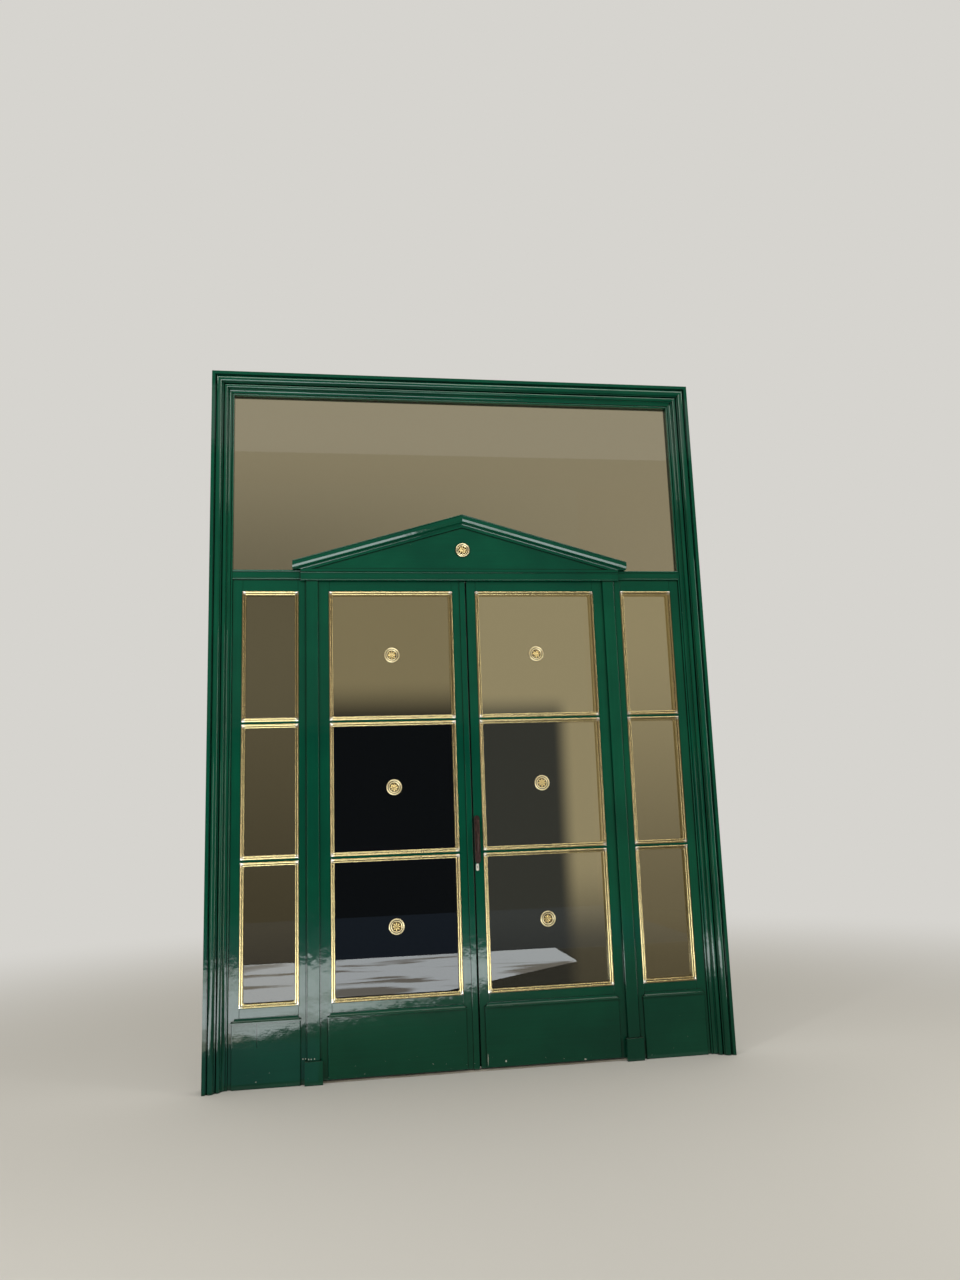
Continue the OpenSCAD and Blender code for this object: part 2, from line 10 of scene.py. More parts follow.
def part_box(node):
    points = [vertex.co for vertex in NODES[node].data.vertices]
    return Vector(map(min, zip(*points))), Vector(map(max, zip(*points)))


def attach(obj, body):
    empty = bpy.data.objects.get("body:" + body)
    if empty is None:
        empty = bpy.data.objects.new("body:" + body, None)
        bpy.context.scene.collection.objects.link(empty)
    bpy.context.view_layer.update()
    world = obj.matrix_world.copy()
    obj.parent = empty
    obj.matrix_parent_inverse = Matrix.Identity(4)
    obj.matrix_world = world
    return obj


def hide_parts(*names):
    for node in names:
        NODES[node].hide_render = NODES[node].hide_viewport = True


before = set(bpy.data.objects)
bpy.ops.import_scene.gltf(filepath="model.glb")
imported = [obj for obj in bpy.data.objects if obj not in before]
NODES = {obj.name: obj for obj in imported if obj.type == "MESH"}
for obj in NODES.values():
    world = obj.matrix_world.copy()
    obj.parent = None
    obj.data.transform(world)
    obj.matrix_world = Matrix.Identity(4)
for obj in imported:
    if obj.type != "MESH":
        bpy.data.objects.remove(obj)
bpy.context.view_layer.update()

MM = 0.001

# Sockets of a colour mix node, by number because its sockets for plain numbers have the same names
A, B, RESULT = 6, 7, 2

# Camera: where the photograph was taken from, and its focal length in the photograph's pixels
CAMERA_PLACE = (-0.766, -5.444, 1.380)
CAMERA_YAW = math.radians(-8.927)
CAMERA_PITCH = math.radians(10.026)
CAMERA_ROLL = math.radians(1.979)
FOCAL_PIXELS = 963.4
LONG_SIDE_PIXELS = 1280
SENSOR_MM = 36.0

# Enamel: brush marks, drawn about three times as coarse as a bristle's track so that they show
STROKE_WIDTH = 7 * MM
STROKE_LENGTH = 300 * MM
STROKE_DEPTH = 0.4 * MM
LUMP = 45 * MM             # soft unevenness of older coats under it
LUMP_DEPTH = 2 * MM
TONE_PATCH = 500 * MM      # drift of its tone over a member
CHIP = 14 * MM             # chips and scuffs near the floor
CHIPPED_TO = 160 * MM      # height to which they get fewer
LOW_DARK_FROM = 150 * MM     # heights between which the darkening towards the bottom thins out, partly painted shade and partly grime
LOW_DARK_TOP = 900 * MM
CORNER_SHADE_REACH = 12 * MM     # reach of the painted shade, with some dirt, in inner corners and recesses
CORNER_SHADE_SAMPLES = 8
ENAMEL_GREEN, ENAMEL_DEEP, STROKE_SHADE = "#03523a", "#004532", "#003727"
# Dust, the dark colour of the painted shade and grime low down and in corners, and pale primer
DUST, SHADE_AND_DIRT, PRIMER = "#77796a", "#0a1710", "#b4b5a8"
# Shares of brush streaks, dust, the darkening towards the bottom and the painted shade in corners
STREAK_SHARE, DUST_SHARE, LOW_DARK_SHARE, CORNER_SHADE_SHARE = 0.22, 0.25, 0.38, 0.90
LEAST_ROUGH, MOST_ROUGH = 0.05, 0.11
ALKYD_IOR = 1.5

# Brass: clouds where air has reached it, and fine scratches of polishing, drawn three times as coarse
TARNISH_PATCH = 60 * MM
POLISH_GRIT = 0.8 * MM
# Painted shade, with some tarnish, in the brass's grooves: its samples, and the shares of tarnish and of this
# shade
GROOVE_SHADE_SAMPLES = 48
TARNISH_SHARE, GROOVE_SHADE_SHARE = 0.10, 0.95
# Colour of the painted glint on the beads' mitres
MITRE_GLINT_WHITE = "#f6f5f0"

# Soda-lime float glass
FLOAT_IOR = 1.52

# Cell sizes of the other finishes' patterns, across, out and up
BRONZE_CLOUD = 12 * MM
NICKEL_SCRATCH = (0.22 * MM, 0.22 * MM, 1.33 * MM)
STONE_BED = (333 * MM, 71 * MM, 71 * MM)
STONE_PIT = 9 * MM
NYLON_TUFT = (0.13 * MM, 0.13 * MM, 0.80 * MM)

# Part of a noise texture's range in which most of its values lie
NOISE_LOW, NOISE_HIGH = 0.35, 0.65

# Rounding that sanding and paint leave on a timber edge, and the least angle that counts as an edge
ARRIS = 1.8 * MM
ARRIS_ANGLE = math.radians(40)
WELD_REACH = 0.02 * MM

# Knocks through the enamel to pale primer: middle across and up, then half sizes across and up
KNOCKS = [(0.151, 0.046, 5 * MM, 6 * MM), (0.588, 0.025, 4 * MM, 5 * MM), (0.053, 0.060, 1.5 * MM, 34 * MM)]
KNOCKS += [(across, 0.128, 3 * MM, 4 * MM) for across in (-0.927, -0.914, -0.897, -0.884, -0.867)]
KNOCK_EDGE = (1.2, 1.5)    # ragged edge of a knock, as distance in half sizes plus the chips' noise

# Heights of the rosettes' middles, one for each row of panes
ROSETTE_HEIGHTS = [2.273, 1.524, 0.771]

# Outer edges of the beads, from the doorway's middle and from the floor, and how far from a mitre the
# painted glint starts to thin out and ends, and how strongly it shows
BEAD_UPRIGHTS = [0.067, 0.778, 0.946, 1.260]
BEAD_LEVELS = [2.644, 1.902, 1.890, 1.158, 1.146, 0.396]
GLINT_THINS, GLINT_ENDS = 12 * MM, 24 * MM
GLINT_SHARE = 0.70

# Broken shade of trees on the paving: its sizes across, out from the door and up, and its edge in the noise
DAPPLE = (1300 * MM, 420 * MM, 1000 * MM)
DAPPLE_EDGE = (0.52, 0.60)

# Backdrop and floor, and the distances between which the floor fades into the backdrop
BACKDROP, FLOOR_PALE = "#d6d4cf", "#d2cfc8"
FLOOR_RADIUS, FADE_FROM, FADE_TO = 60.0, 2.4, 8.0
FLOOR_SEGMENTS = 96


def linear(hex_colour):
    """An sRGB hex colour such as #0b4a35 as linear RGBA."""
    parts = [int(hex_colour[i:i + 2], 16) / 255 for i in (1, 3, 5)]
    return [c / 12.92 if c <= 0.04045 else ((c + 0.055) / 1.055) ** 2.4 for c in parts] + [1.0]


def add(tree, kind, inputs=None, **settings):
    """Add a shader node. settings are its properties; inputs gives its sockets values, sockets or nodes."""
    made = tree.nodes.new("ShaderNode" + kind)
    for name, value in settings.items():
        setattr(made, name, value)
    for name, value in (inputs or {}).items():
        if isinstance(value, bpy.types.Node):
            value = value.outputs[0]
        if isinstance(value, bpy.types.NodeSocket):
            tree.links.new(value, made.inputs[name])
        else:
            made.inputs[name].default_value = value
    return made


def new_material(name):
    """An empty material and its node tree."""
    made = bpy.data.materials.new(name)
    made.use_nodes = True
    made.node_tree.nodes.clear()
    return made, made.node_tree


# Finishes

def gloss_enamel(name, stroke_axis, slope=0.0):
    """Alkyd gloss enamel brushed on timber: a deep green with a wet shine, brush marks along the member,
    the soft lumps of older coats under it, dust on what faces up, painted shade with some dirt in corners
    and recesses, a darkening towards the bottom that is partly painted shade and partly grime, and scuffs
    near the floor."""
    made, tree = new_material(name)
    place = add(tree, "TexCoord").outputs["Object"]
    level = add(tree, "Mapping", {"Vector": place, "Rotation": (0, slope, 0)})
    stroke_scale = [1 / STROKE_WIDTH] * 3
    stroke_scale[stroke_axis] = 1 / STROKE_LENGTH
    stroke_place = add(tree, "Mapping", {"Vector": level, "Scale": stroke_scale})
    strokes = add(tree, "TexNoise", {"Vector": stroke_place, "Scale": 1.0, "Detail": 2.0, "Roughness": 0.5})
    lumps = add(tree, "TexNoise", {"Vector": place, "Scale": 1 / LUMP, "Detail": 2.0})
    tone = add(tree, "TexNoise", {"Vector": place, "Scale": 1 / TONE_PATCH, "Detail": 3.0})
    tone_span = add(tree, "MapRange", {"Value": tone, "From Min": NOISE_LOW, "From Max": NOISE_HIGH})
    green = add(tree, "Mix", {0: tone_span, A: linear(ENAMEL_GREEN), B: linear(ENAMEL_DEEP)},
                data_type="RGBA")
    streak = add(tree, "MapRange", {"Value": strokes, "From Min": 0.3, "From Max": 0.7,
                                    "To Max": STREAK_SHARE})
    streaked = add(tree, "Mix", {0: streak, A: green.outputs[RESULT], B: linear(STROKE_SHADE)},
                   data_type="RGBA")

    facing = add(tree, "NewGeometry").outputs["Normal"]
    normal = add(tree, "SeparateXYZ", {0: facing})
    ledge = add(tree, "MapRange", {"Value": normal.outputs["Z"], "From Min": 0.75, "From Max": 0.99,
                                   "To Max": DUST_SHARE})
    dusty = add(tree, "Math", {0: ledge, 1: tone_span}, operation="MULTIPLY")
    coated = add(tree, "Mix", {0: dusty, A: streaked.outputs[RESULT], B: linear(DUST)}, data_type="RGBA")

    height = add(tree, "SeparateXYZ", {0: place}).outputs["Z"]
    # Darker towards the bottom: partly painted shade, partly grime
    low_darkening = add(tree, "MapRange", {"Value": height, "From Min": LOW_DARK_FROM, "From Max": LOW_DARK_TOP,
                                      "To Min": LOW_DARK_SHARE, "To Max": 0.0})
    # Painted shade, with some dirt, in corners and recesses where little is open around a point
    open_air = add(tree, "AmbientOcclusion", {"Distance": CORNER_SHADE_REACH}, samples=CORNER_SHADE_SAMPLES)
    corner_shade = add(tree, "MapRange", {"Value": open_air.outputs["AO"], "From Min": 0.50, "From Max": 0.92,
                                      "To Min": CORNER_SHADE_SHARE, "To Max": 0.0})
    shade_and_grime = add(tree, "Math", {0: low_darkening, 1: corner_shade}, operation="MAXIMUM")
    shaded_and_soiled = add(tree, "Mix", {0: shade_and_grime, A: coated.outputs[RESULT], B: linear(SHADE_AND_DIRT)}, data_type="RGBA")

    near_floor = add(tree, "MapRange", {"Value": height, "From Max": CHIPPED_TO,
                                        "To Min": 0.07, "To Max": 0.0})
    chips = add(tree, "TexNoise", {"Vector": place, "Scale": 1 / CHIP, "Detail": 4.0, "Roughness": 0.6})
    worn = add(tree, "Math", {0: chips, 1: near_floor}, operation="ADD")
    chipped = add(tree, "MapRange", {"Value": worn, "From Min": 0.755, "From Max": 0.78})
    street_face = add(tree, "MapRange", {"Value": normal.outputs["Y"], "From Min": -0.4, "From Max": -0.6})
    for across, up_from_floor, half_width, half_height in KNOCKS:
        centred = add(tree, "Mapping", {
            "Vector": place, "Scale": (1 / half_width, 0, 1 / half_height),
            "Location": (-across / half_width, 0, -up_from_floor / half_height)})
        off = add(tree, "VectorMath", {0: centred}, operation="LENGTH").outputs["Value"]
        ragged = add(tree, "Math", {0: off, 1: chips}, operation="ADD")
        knock = add(tree, "MapRange", {"Value": ragged, "From Min": KNOCK_EDGE[0], "From Max": KNOCK_EDGE[1],
                                       "To Min": street_face, "To Max": 0.0})
        chipped = add(tree, "Math", {0: chipped, 1: knock}, operation="MAXIMUM")
    coloured = add(tree, "Mix", {0: chipped, A: shaded_and_soiled.outputs[RESULT], B: linear(PRIMER)}, data_type="RGBA")

    shine = add(tree, "MapRange", {"Value": strokes, "To Min": LEAST_ROUGH, "To Max": MOST_ROUGH})
    dull = add(tree, "Math", {0: shine, 1: dusty}, operation="ADD")
    rough = add(tree, "Math", {0: dull, 1: chipped}, operation="MAXIMUM")
    stroke_bump = add(tree, "Bump", {"Strength": 0.16, "Distance": STROKE_DEPTH, "Height": strokes})
    bump = add(tree, "Bump", {"Strength": 0.28, "Distance": LUMP_DEPTH, "Height": lumps,
                              "Normal": stroke_bump})
    shader = add(tree, "BsdfPrincipled", {"Base Color": coloured.outputs[RESULT], "Roughness": rough,
                                          "IOR": ALKYD_IOR, "Normal": bump})
    add(tree, "OutputMaterial", {"Surface": shader})
    return made


def mitre_glints(tree, place):
    """How strongly the whitish painted glint on a bead's mitre shows at a place: most at a mitre, and not at
    all along a bead.
    """
    split = add(tree, "SeparateXYZ", {0: place})
    across = add(tree, "Math", {0: split.outputs["X"]}, operation="ABSOLUTE")
    off_corner = 0.0
    for measure, edges in ((across, BEAD_UPRIGHTS), (split.outputs["Z"], BEAD_LEVELS)):
        nearest = 1.0
        for edge in edges:
            apart = add(tree, "Math", {0: measure, 1: edge}, operation="SUBTRACT")
            gap = add(tree, "Math", {0: apart}, operation="ABSOLUTE")
            nearest = add(tree, "Math", {0: nearest, 1: gap}, operation="MINIMUM")
        off_corner = add(tree, "Math", {0: off_corner, 1: nearest}, operation="MAXIMUM")
    return add(tree, "MapRange", {"Value": off_corner, "From Min": GLINT_THINS, "From Max": GLINT_ENDS,
                                  "To Min": GLINT_SHARE, "To Max": 0.0})


def lacquered_brass(name, bright, aged_and_shaded, groove_shade_reach, smooth, matt, haze, glinting=False):
    """Drawn and cast brass under a hazed clear lacquer: pale gold where it is bright, a little browner in
    clouds where the lacquer has let in air, and brown-black in its grooves and hollows over about the reach
    it is given, which is painted shade with some tarnish. Its roughness runs between smooth and matt, and
    haze is the part of it that the lacquer leaves milky. When asked for, a whitish painted glint lies on its
    mitres."""
    made, tree = new_material(name)
    place = add(tree, "TexCoord").outputs["Object"]
    clouds = add(tree, "TexNoise", {"Vector": place, "Scale": 1 / TARNISH_PATCH, "Detail": 4.0,
                                    "Roughness": 0.55})
    cloud_span = add(tree, "MapRange", {"Value": clouds, "From Min": 0.45, "From Max": 0.80,
                                        "To Max": TARNISH_SHARE})
    # Painted shade with some tarnish in the grooves, where little of the piece's own surroundings is open
    open_sky = add(tree, "AmbientOcclusion", {"Distance": groove_shade_reach}, only_local=True,
                   samples=GROOVE_SHADE_SAMPLES)
    groove_shade = add(tree, "MapRange", {"Value": open_sky.outputs["AO"], "From Min": 0.35, "From Max": 0.80,
                                    "To Min": GROOVE_SHADE_SHARE, "To Max": 0.0})
    tarnish_and_shade = add(tree, "Math", {0: cloud_span, 1: groove_shade}, operation="MAXIMUM")
    colour = add(tree, "Mix", {0: tarnish_and_shade, A: linear(bright), B: linear(aged_and_shaded)}, data_type="RGBA")
    # Whitish painted glint on the mitres
    if glinting:
        colour = add(tree, "Mix", {0: mitre_glints(tree, place), A: colour.outputs[RESULT],
                                   B: linear(MITRE_GLINT_WHITE)}, data_type="RGBA")
    grit = add(tree, "TexNoise", {"Vector": place, "Scale": 1 / POLISH_GRIT, "Detail": 2.0})
    rough = add(tree, "MapRange", {"Value": clouds, "To Min": smooth, "To Max": matt})
    bump = add(tree, "Bump", {"Strength": 0.2, "Distance": 0.02 * MM, "Height": grit})
    shader = add(tree, "BsdfPrincipled", {"Base Color": colour.outputs[RESULT], "Metallic": 1 - haze,
                                          "Roughness": rough, "Normal": bump})
    add(tree, "OutputMaterial", {"Surface": shader})
    return made


def tinted_glass(name, clear, shade_colour, patches):
    """Float glass with an olive bronze tint, darkened in patches by painted shade that stands for the dark
    room behind it and dark reflections. A patch thins out upwards between two heights and to the right
    between two
    distances: (heights, distances, strength)."""
    made, tree = new_material(name)
    place = add(tree, "TexCoord").outputs["Object"]
    split = add(tree, "SeparateXYZ", {0: place})
    let_through = 1.0
    for heights, distances, strength in patches:
        low = add(tree, "MapRange", {"Value": split.outputs["Z"], "From Min": heights[0],
                                     "From Max": heights[1], "To Min": strength, "To Max": 0.0},
                  interpolation_type="SMOOTHSTEP")
        left = add(tree, "MapRange", {"Value": split.outputs["X"], "From Min": distances[0],
                                      "From Max": distances[1], "To Min": 1.0, "To Max": 0.0},
                   interpolation_type="SMOOTHSTEP")
        # Painted shade of this patch
        painted_shade = add(tree, "Math", {0: low, 1: left}, operation="MULTIPLY")
        gap = add(tree, "Math", {0: 1.0, 1: painted_shade}, operation="SUBTRACT")
        let_through = add(tree, "Math", {0: let_through, 1: gap}, operation="MULTIPLY")
    tint = add(tree, "Mix", {0: let_through, A: linear(shade_colour), B: linear(clear)}, data_type="RGBA")
    shader = add(tree, "BsdfPrincipled", {"Base Color": tint.outputs[RESULT], "Roughness": 0.0,
                                          "IOR": FLOAT_IOR, "Transmission Weight": 1.0})
    add(tree, "OutputMaterial", {"Surface": shader})
    return made


def oxidised_bronze(name):
    """Cast bronze gone dark brown, rubbed a little brighter where hands and screwdrivers reach."""
    made, tree = new_material(name)
    place = add(tree, "TexCoord").outputs["Object"]
    clouds = add(tree, "TexNoise", {"Vector": place, "Scale": 1 / BRONZE_CLOUD, "Detail": 5.0})
    rubbed = add(tree, "MapRange", {"Value": clouds, "From Min": 0.5, "From Max": 0.75, "To Max": 0.5})
    colour = add(tree, "Mix", {0: rubbed, A: linear("#33221e"), B: linear("#5f4335")}, data_type="RGBA")
    rough = add(tree, "MapRange", {"Value": clouds, "To Min": 0.35, "To Max": 0.55})
    bump = add(tree, "Bump", {"Strength": 0.2, "Distance": 0.3 * MM, "Height": clouds})
    shader = add(tree, "BsdfPrincipled", {"Base Color": colour.outputs[RESULT], "Metallic": 0.7,
                                          "Roughness": rough, "Normal": bump})
    add(tree, "OutputMaterial", {"Surface": shader})
    return made


def worn_nickel(name):
    """Nickel plate on a small stamped fitting: warm white, with fine rubbed scratches."""
    made, tree = new_material(name)
    place = add(tree, "TexCoord").outputs["Object"]
    along = add(tree, "Mapping", {"Vector": place, "Scale": [1 / size for size in NICKEL_SCRATCH]})
    scratches = add(tree, "TexNoise", {"Vector": along, "Scale": 1.0, "Detail": 3.0})
    colour = add(tree, "Mix", {0: scratches, A: linear("#f0e9dc"), B: linear("#c9bfae")}, data_type="RGBA")
    rough = add(tree, "MapRange", {"Value": scratches, "To Min": 0.25, "To Max": 0.45})
    shader = add(tree, "BsdfPrincipled", {"Base Color": colour.outputs[RESULT], "Metallic": 1.0,
                                          "Roughness": rough})
    add(tree, "OutputMaterial", {"Surface": shader})
    return made


def honed_travertine(name):
    """Honed travertine threshold: warm grey, clouded along its bed, with small open pits, matt from feet."""
    made, tree = new_material(name)
    place = add(tree, "TexCoord").outputs["Object"]
    bedded = add(tree, "Mapping", {"Vector": place, "Scale": [1 / size for size in STONE_BED]})
    beds = add(tree, "TexNoise", {"Vector": bedded, "Scale": 1.0, "Detail": 6.0})
    pits = add(tree, "TexVoronoi", {"Vector": place, "Scale": 1 / STONE_PIT, "Randomness": 1.0})
    pit_mask = add(tree, "MapRange", {"Value": pits, "From Min": 0.08, "From Max": 0.2,
                                      "To Min": 1.0, "To Max": 0.0})
    bed_span = add(tree, "MapRange", {"Value": beds, "From Min": NOISE_LOW, "From Max": NOISE_HIGH})
    stone = add(tree, "Mix", {0: bed_span, A: linear("#a09a8c"), B: linear("#7f7768")}, data_type="RGBA")
    pitted = add(tree, "Mix", {0: pit_mask, A: stone.outputs[RESULT], B: linear("#4e483d")}, data_type="RGBA")
    bump = add(tree, "Bump", {"Strength": 0.5, "Distance": 0.5 * MM, "Height": pits})
    shader = add(tree, "BsdfPrincipled", {"Base Color": pitted.outputs[RESULT], "Roughness": 0.55,
                                          "Normal": bump})
    add(tree, "OutputMaterial", {"Surface": shader})
    return made


def brush_pile(name):
    """Black nylon pile of a draught brush: matt, with fine upright streaks between its tufts."""
    made, tree = new_material(name)
    place = add(tree, "TexCoord").outputs["Object"]
    upright = add(tree, "Mapping", {"Vector": place, "Scale": [1 / size for size in NYLON_TUFT]})
    tufts = add(tree, "TexNoise", {"Vector": upright, "Scale": 1.0, "Detail": 2.0})
    colour = add(tree, "Mix", {0: tufts, A: linear("#0b0c0b"), B: linear("#232423")}, data_type="RGBA")
    bump = add(tree, "Bump", {"Strength": 0.5, "Distance": 0.3 * MM, "Height": tufts})
    shader = add(tree, "BsdfPrincipled", {"Base Color": colour.outputs[RESULT], "Roughness": 0.8,
                                          "Normal": bump})
    add(tree, "OutputMaterial", {"Surface": shader})
    return made


# Axis that the brush followed, Z on an upright member and X on a level one, and the rake of the pediment
UPRIGHT, LEVEL = 2, 0
PEDIMENT_SLOPE = math.radians(16.1)
enamel_upright = gloss_enamel("gloss_enamel_upright", UPRIGHT)
enamel_level = gloss_enamel("gloss_enamel_level", LEVEL)
enamel_left_rake = gloss_enamel("gloss_enamel_left_rake", LEVEL, PEDIMENT_SLOPE)
enamel_right_rake = gloss_enamel("gloss_enamel_right_rake", LEVEL, -PEDIMENT_SLOPE)
# Beads: painted shade in their grooves and a painted glint on their mitres
drawn_brass = lacquered_brass("lacquered_drawn_brass", "#d6c592", "#3f2c17", groove_shade_reach=8 * MM,
                              smooth=0.20, matt=0.28, haze=0.06, glinting=True)
cast_brass = lacquered_brass("lacquered_cast_brass", "#ecdcb0", "#6a4e2b", groove_shade_reach=4 * MM,
                             smooth=0.26, matt=0.38, haze=0.22)
petal_brass = lacquered_brass("lacquered_petal_brass", "#e0c98e", "#5a3f1e", groove_shade_reach=5 * MM,
                              smooth=0.22, matt=0.32, haze=0.16)
# Dark brass of the rosettes' sunk rings and side walls: patina in the hollows, with painted shade
shaded_sunk_brass = lacquered_brass("patinated_shaded_cast_brass", "#3a2a16", "#171007", groove_shade_reach=6 * MM,
                             smooth=0.40, matt=0.55, haze=0.22)

# Tints of the panes, and the colours of the painted shade that darkens them in patches where the room behind
# and the reflections are dark; the left leaf's deeper olive is painted shade too. A patch that is as strong
# from side to side, or from top to bottom, thins out only between two distances beyond every pane.
OLIVE, PALE_OLIVE, SHADED_OLIVE = "#aca07c", "#a3997d", "#948866"
SHADE_BLACK, SHADE_UMBER, SHADE_AMBER = "#0a0d10", "#3e3f39", "#2a2519"
WHOLE = (8.0, 9.0)
transom_float = tinted_glass("transom_float_glass", PALE_OLIVE, SHADE_AMBER, [((2.60, 3.65), (-1.3, 1.5), 0.46)])
sidelight_float = tinted_glass("sidelight_float_glass", OLIVE, SHADE_AMBER, [
    ((0.6, 2.4), WHOLE, 0.58), (WHOLE, (-1.0, 0.9), 0.67)])
left_leaf_float = tinted_glass("left_leaf_float_glass", SHADED_OLIVE, SHADE_BLACK, [((1.86, 2.14), WHOLE, 1.0)])
right_leaf_float = tinted_glass("right_leaf_float_glass", OLIVE, SHADE_UMBER, [
    ((1.86, 2.05), (0.50, 0.62), 1.0), ((0.60, 1.10), WHOLE, 0.80)])
bronze = oxidised_bronze("oxidised_bronze")
nickel = worn_nickel("worn_nickel")
travertine = honed_travertine("honed_travertine")
nylon = brush_pile("black_nylon_pile")

FINISHES = [
    (enamel_upright, ["left_casing", "right_casing", "left_jamb", "right_jamb", "left_mullion",
                      "right_mullion", "left_pilaster", "right_pilaster", "left_plinth_block",
                      "right_plinth_block", "sidelight_stiles", "left_leaf_stiles", "right_leaf_stiles",
                      "meeting_strip"]),
    (enamel_level, ["head_casing", "head_rail", "transom_rail", "entablature", "tympanum", "transom_beads",
                    "sidelight_rails", "left_side_panel", "right_side_panel", "left_leaf_rails",
                    "left_leaf_panel", "right_leaf_rails", "right_leaf_panel"]),
    (enamel_left_rake, ["left_raking_cornice"]),
    (enamel_right_rake, ["right_raking_cornice"]),
    (drawn_brass, ["sidelight_beads", "left_leaf_beads", "right_leaf_beads"]),
    (cast_brass, ["tympanum_rosette", "left_leaf_rosettes", "right_leaf_rosettes"]),
    (transom_float, ["transom_glass"]),
    (sidelight_float, ["sidelight_glass"]),
    (left_leaf_float, ["left_leaf_glass"]),
    (right_leaf_float, ["right_leaf_glass"]),
    (bronze, ["frame_hinge_halves", "left_leaf_hinge_halves", "right_leaf_hinge_halves", "pull_handle"]),
    (nickel, ["keyhole_plate"]),
    (travertine, ["threshold"]),
]
for finish, node_names in FINISHES:
    for node_name in node_names:
        NODES[node_name].material_slots[0].material = finish


def round_arrises(node_name):
    """Round a square piece's sharp edges a little, as sanding, paint and wear do."""
    piece = NODES[node_name]
    weld = piece.modifiers.new("joined_faces", "WELD")
    weld.merge_threshold = WELD_REACH
    arris = piece.modifiers.new("arris", "BEVEL")
    arris.width = ARRIS
    arris.segments = 2
    arris.limit_method = "ANGLE"
    arris.angle_limit = ARRIS_ANGLE
    arris.harden_normals = True


SQUARE_PIECES = ["left_jamb", "right_jamb", "head_rail", "left_mullion", "right_mullion",
                 "left_plinth_block", "right_plinth_block", "sidelight_stiles", "sidelight_rails",
                 "left_leaf_stiles", "right_leaf_stiles", "left_leaf_rails", "right_leaf_rails",
                 "tympanum", "transom_beads", "threshold"]
for square_piece in SQUARE_PIECES:
    round_arrises(square_piece)


# New pieces

def block(low, high):
    """A bmesh block between two corners."""
    bm = bmesh.new()
    bmesh.ops.create_cube(bm, size=1.0)
    bmesh.ops.scale(bm, verts=bm.verts, vec=high - low)
    bmesh.ops.translate(bm, verts=bm.verts, vec=(low + high) / 2)
    return bm


def new_object(name, bm, materials):
    """Turn a bmesh into an object of the scene."""
    mesh = bpy.data.meshes.new(name)
    bm.to_mesh(mesh)
    bm.free()
    for material in materials:
        mesh.materials.append(material)
    made = bpy.data.objects.new(name, mesh)
    bpy.context.scene.collection.objects.link(made)
    return made


def finish_piece(name, bm, materials, body, smooth=True):
    """Turn a bmesh into a piece with its finishes, riding a body."""
    bmesh.ops.recalc_face_normals(bm, faces=bm.faces)
    for face in bm.faces:
        face.smooth = smooth
    piece = new_object(name, bm, materials)
    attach(piece, body)
    return piece


# Places of a rosette's finishes in its list of materials; the dark brass lies where it is sunk, as patina
# with painted shade, and on its side wall, as painted shade
RAISED, SUNK_AND_SHADED, PETAL_FINISH = 0, 1, 2

# A rosette's radius and the height of its edge, then the steps of its turned face from the edge inwards:
# width and rise towards the viewer in millimetres, and finish
ROSETTE_RADIUS = 43.5 * MM
ROSETTE_EDGE = 7.0 * MM
ROSETTE_STEPS = [(1.4, 1.6, RAISED), (2.8, 1.0, RAISED), (2.8, -1.0, RAISED), (1.0, -1.6, RAISED),
                 (0.6, -2.4, SUNK_AND_SHADED), (2.0, 0.0, SUNK_AND_SHADED), (0.6, 2.4, SUNK_AND_SHADED), (2.6, 1.0, RAISED),
                 (2.6, -1.0, RAISED), (1.0, -3.2, RAISED), (2.4, -0.4, SUNK_AND_SHADED)]

# Petals and button: half sizes out, across and up, distance from the rosette's middle, and lift over the
# sunk floor of its steps
PETALS = 8
OUTER_PETAL = (9.0 * MM, 5.5 * MM, 4.0 * MM)
OUTER_PETAL_REACH = 15.5 * MM
INNER_PETAL = (5.6 * MM, 3.4 * MM, 3.4 * MM)
INNER_PETAL_REACH = 7.6 * MM
INNER_PETAL_LIFT = 1.2 * MM
BUTTON = (3.4 * MM, 3.4 * MM, 3.0 * MM)
BUTTON_LIFT = 2.4 * MM
DISC_SEGMENTS = 72
PETAL_SEGMENTS, PETAL_RINGS = 16, 10


def swell(bm, size, place, turn):
    """A rounded lump of the given half sizes, moved to place and then turned round Z."""
    shape = Matrix.Rotation(turn, 4, "Z") @ Matrix.Translation(place) @ Matrix.Diagonal((*size, 1))
    lump = bmesh.ops.create_uvsphere(bm, u_segments=PETAL_SEGMENTS, v_segments=PETAL_RINGS, radius=1.0,
                                     matrix=shape)
    for vert in lump["verts"]:
        for face in vert.link_faces:
            face.material_index = PETAL_FINISH


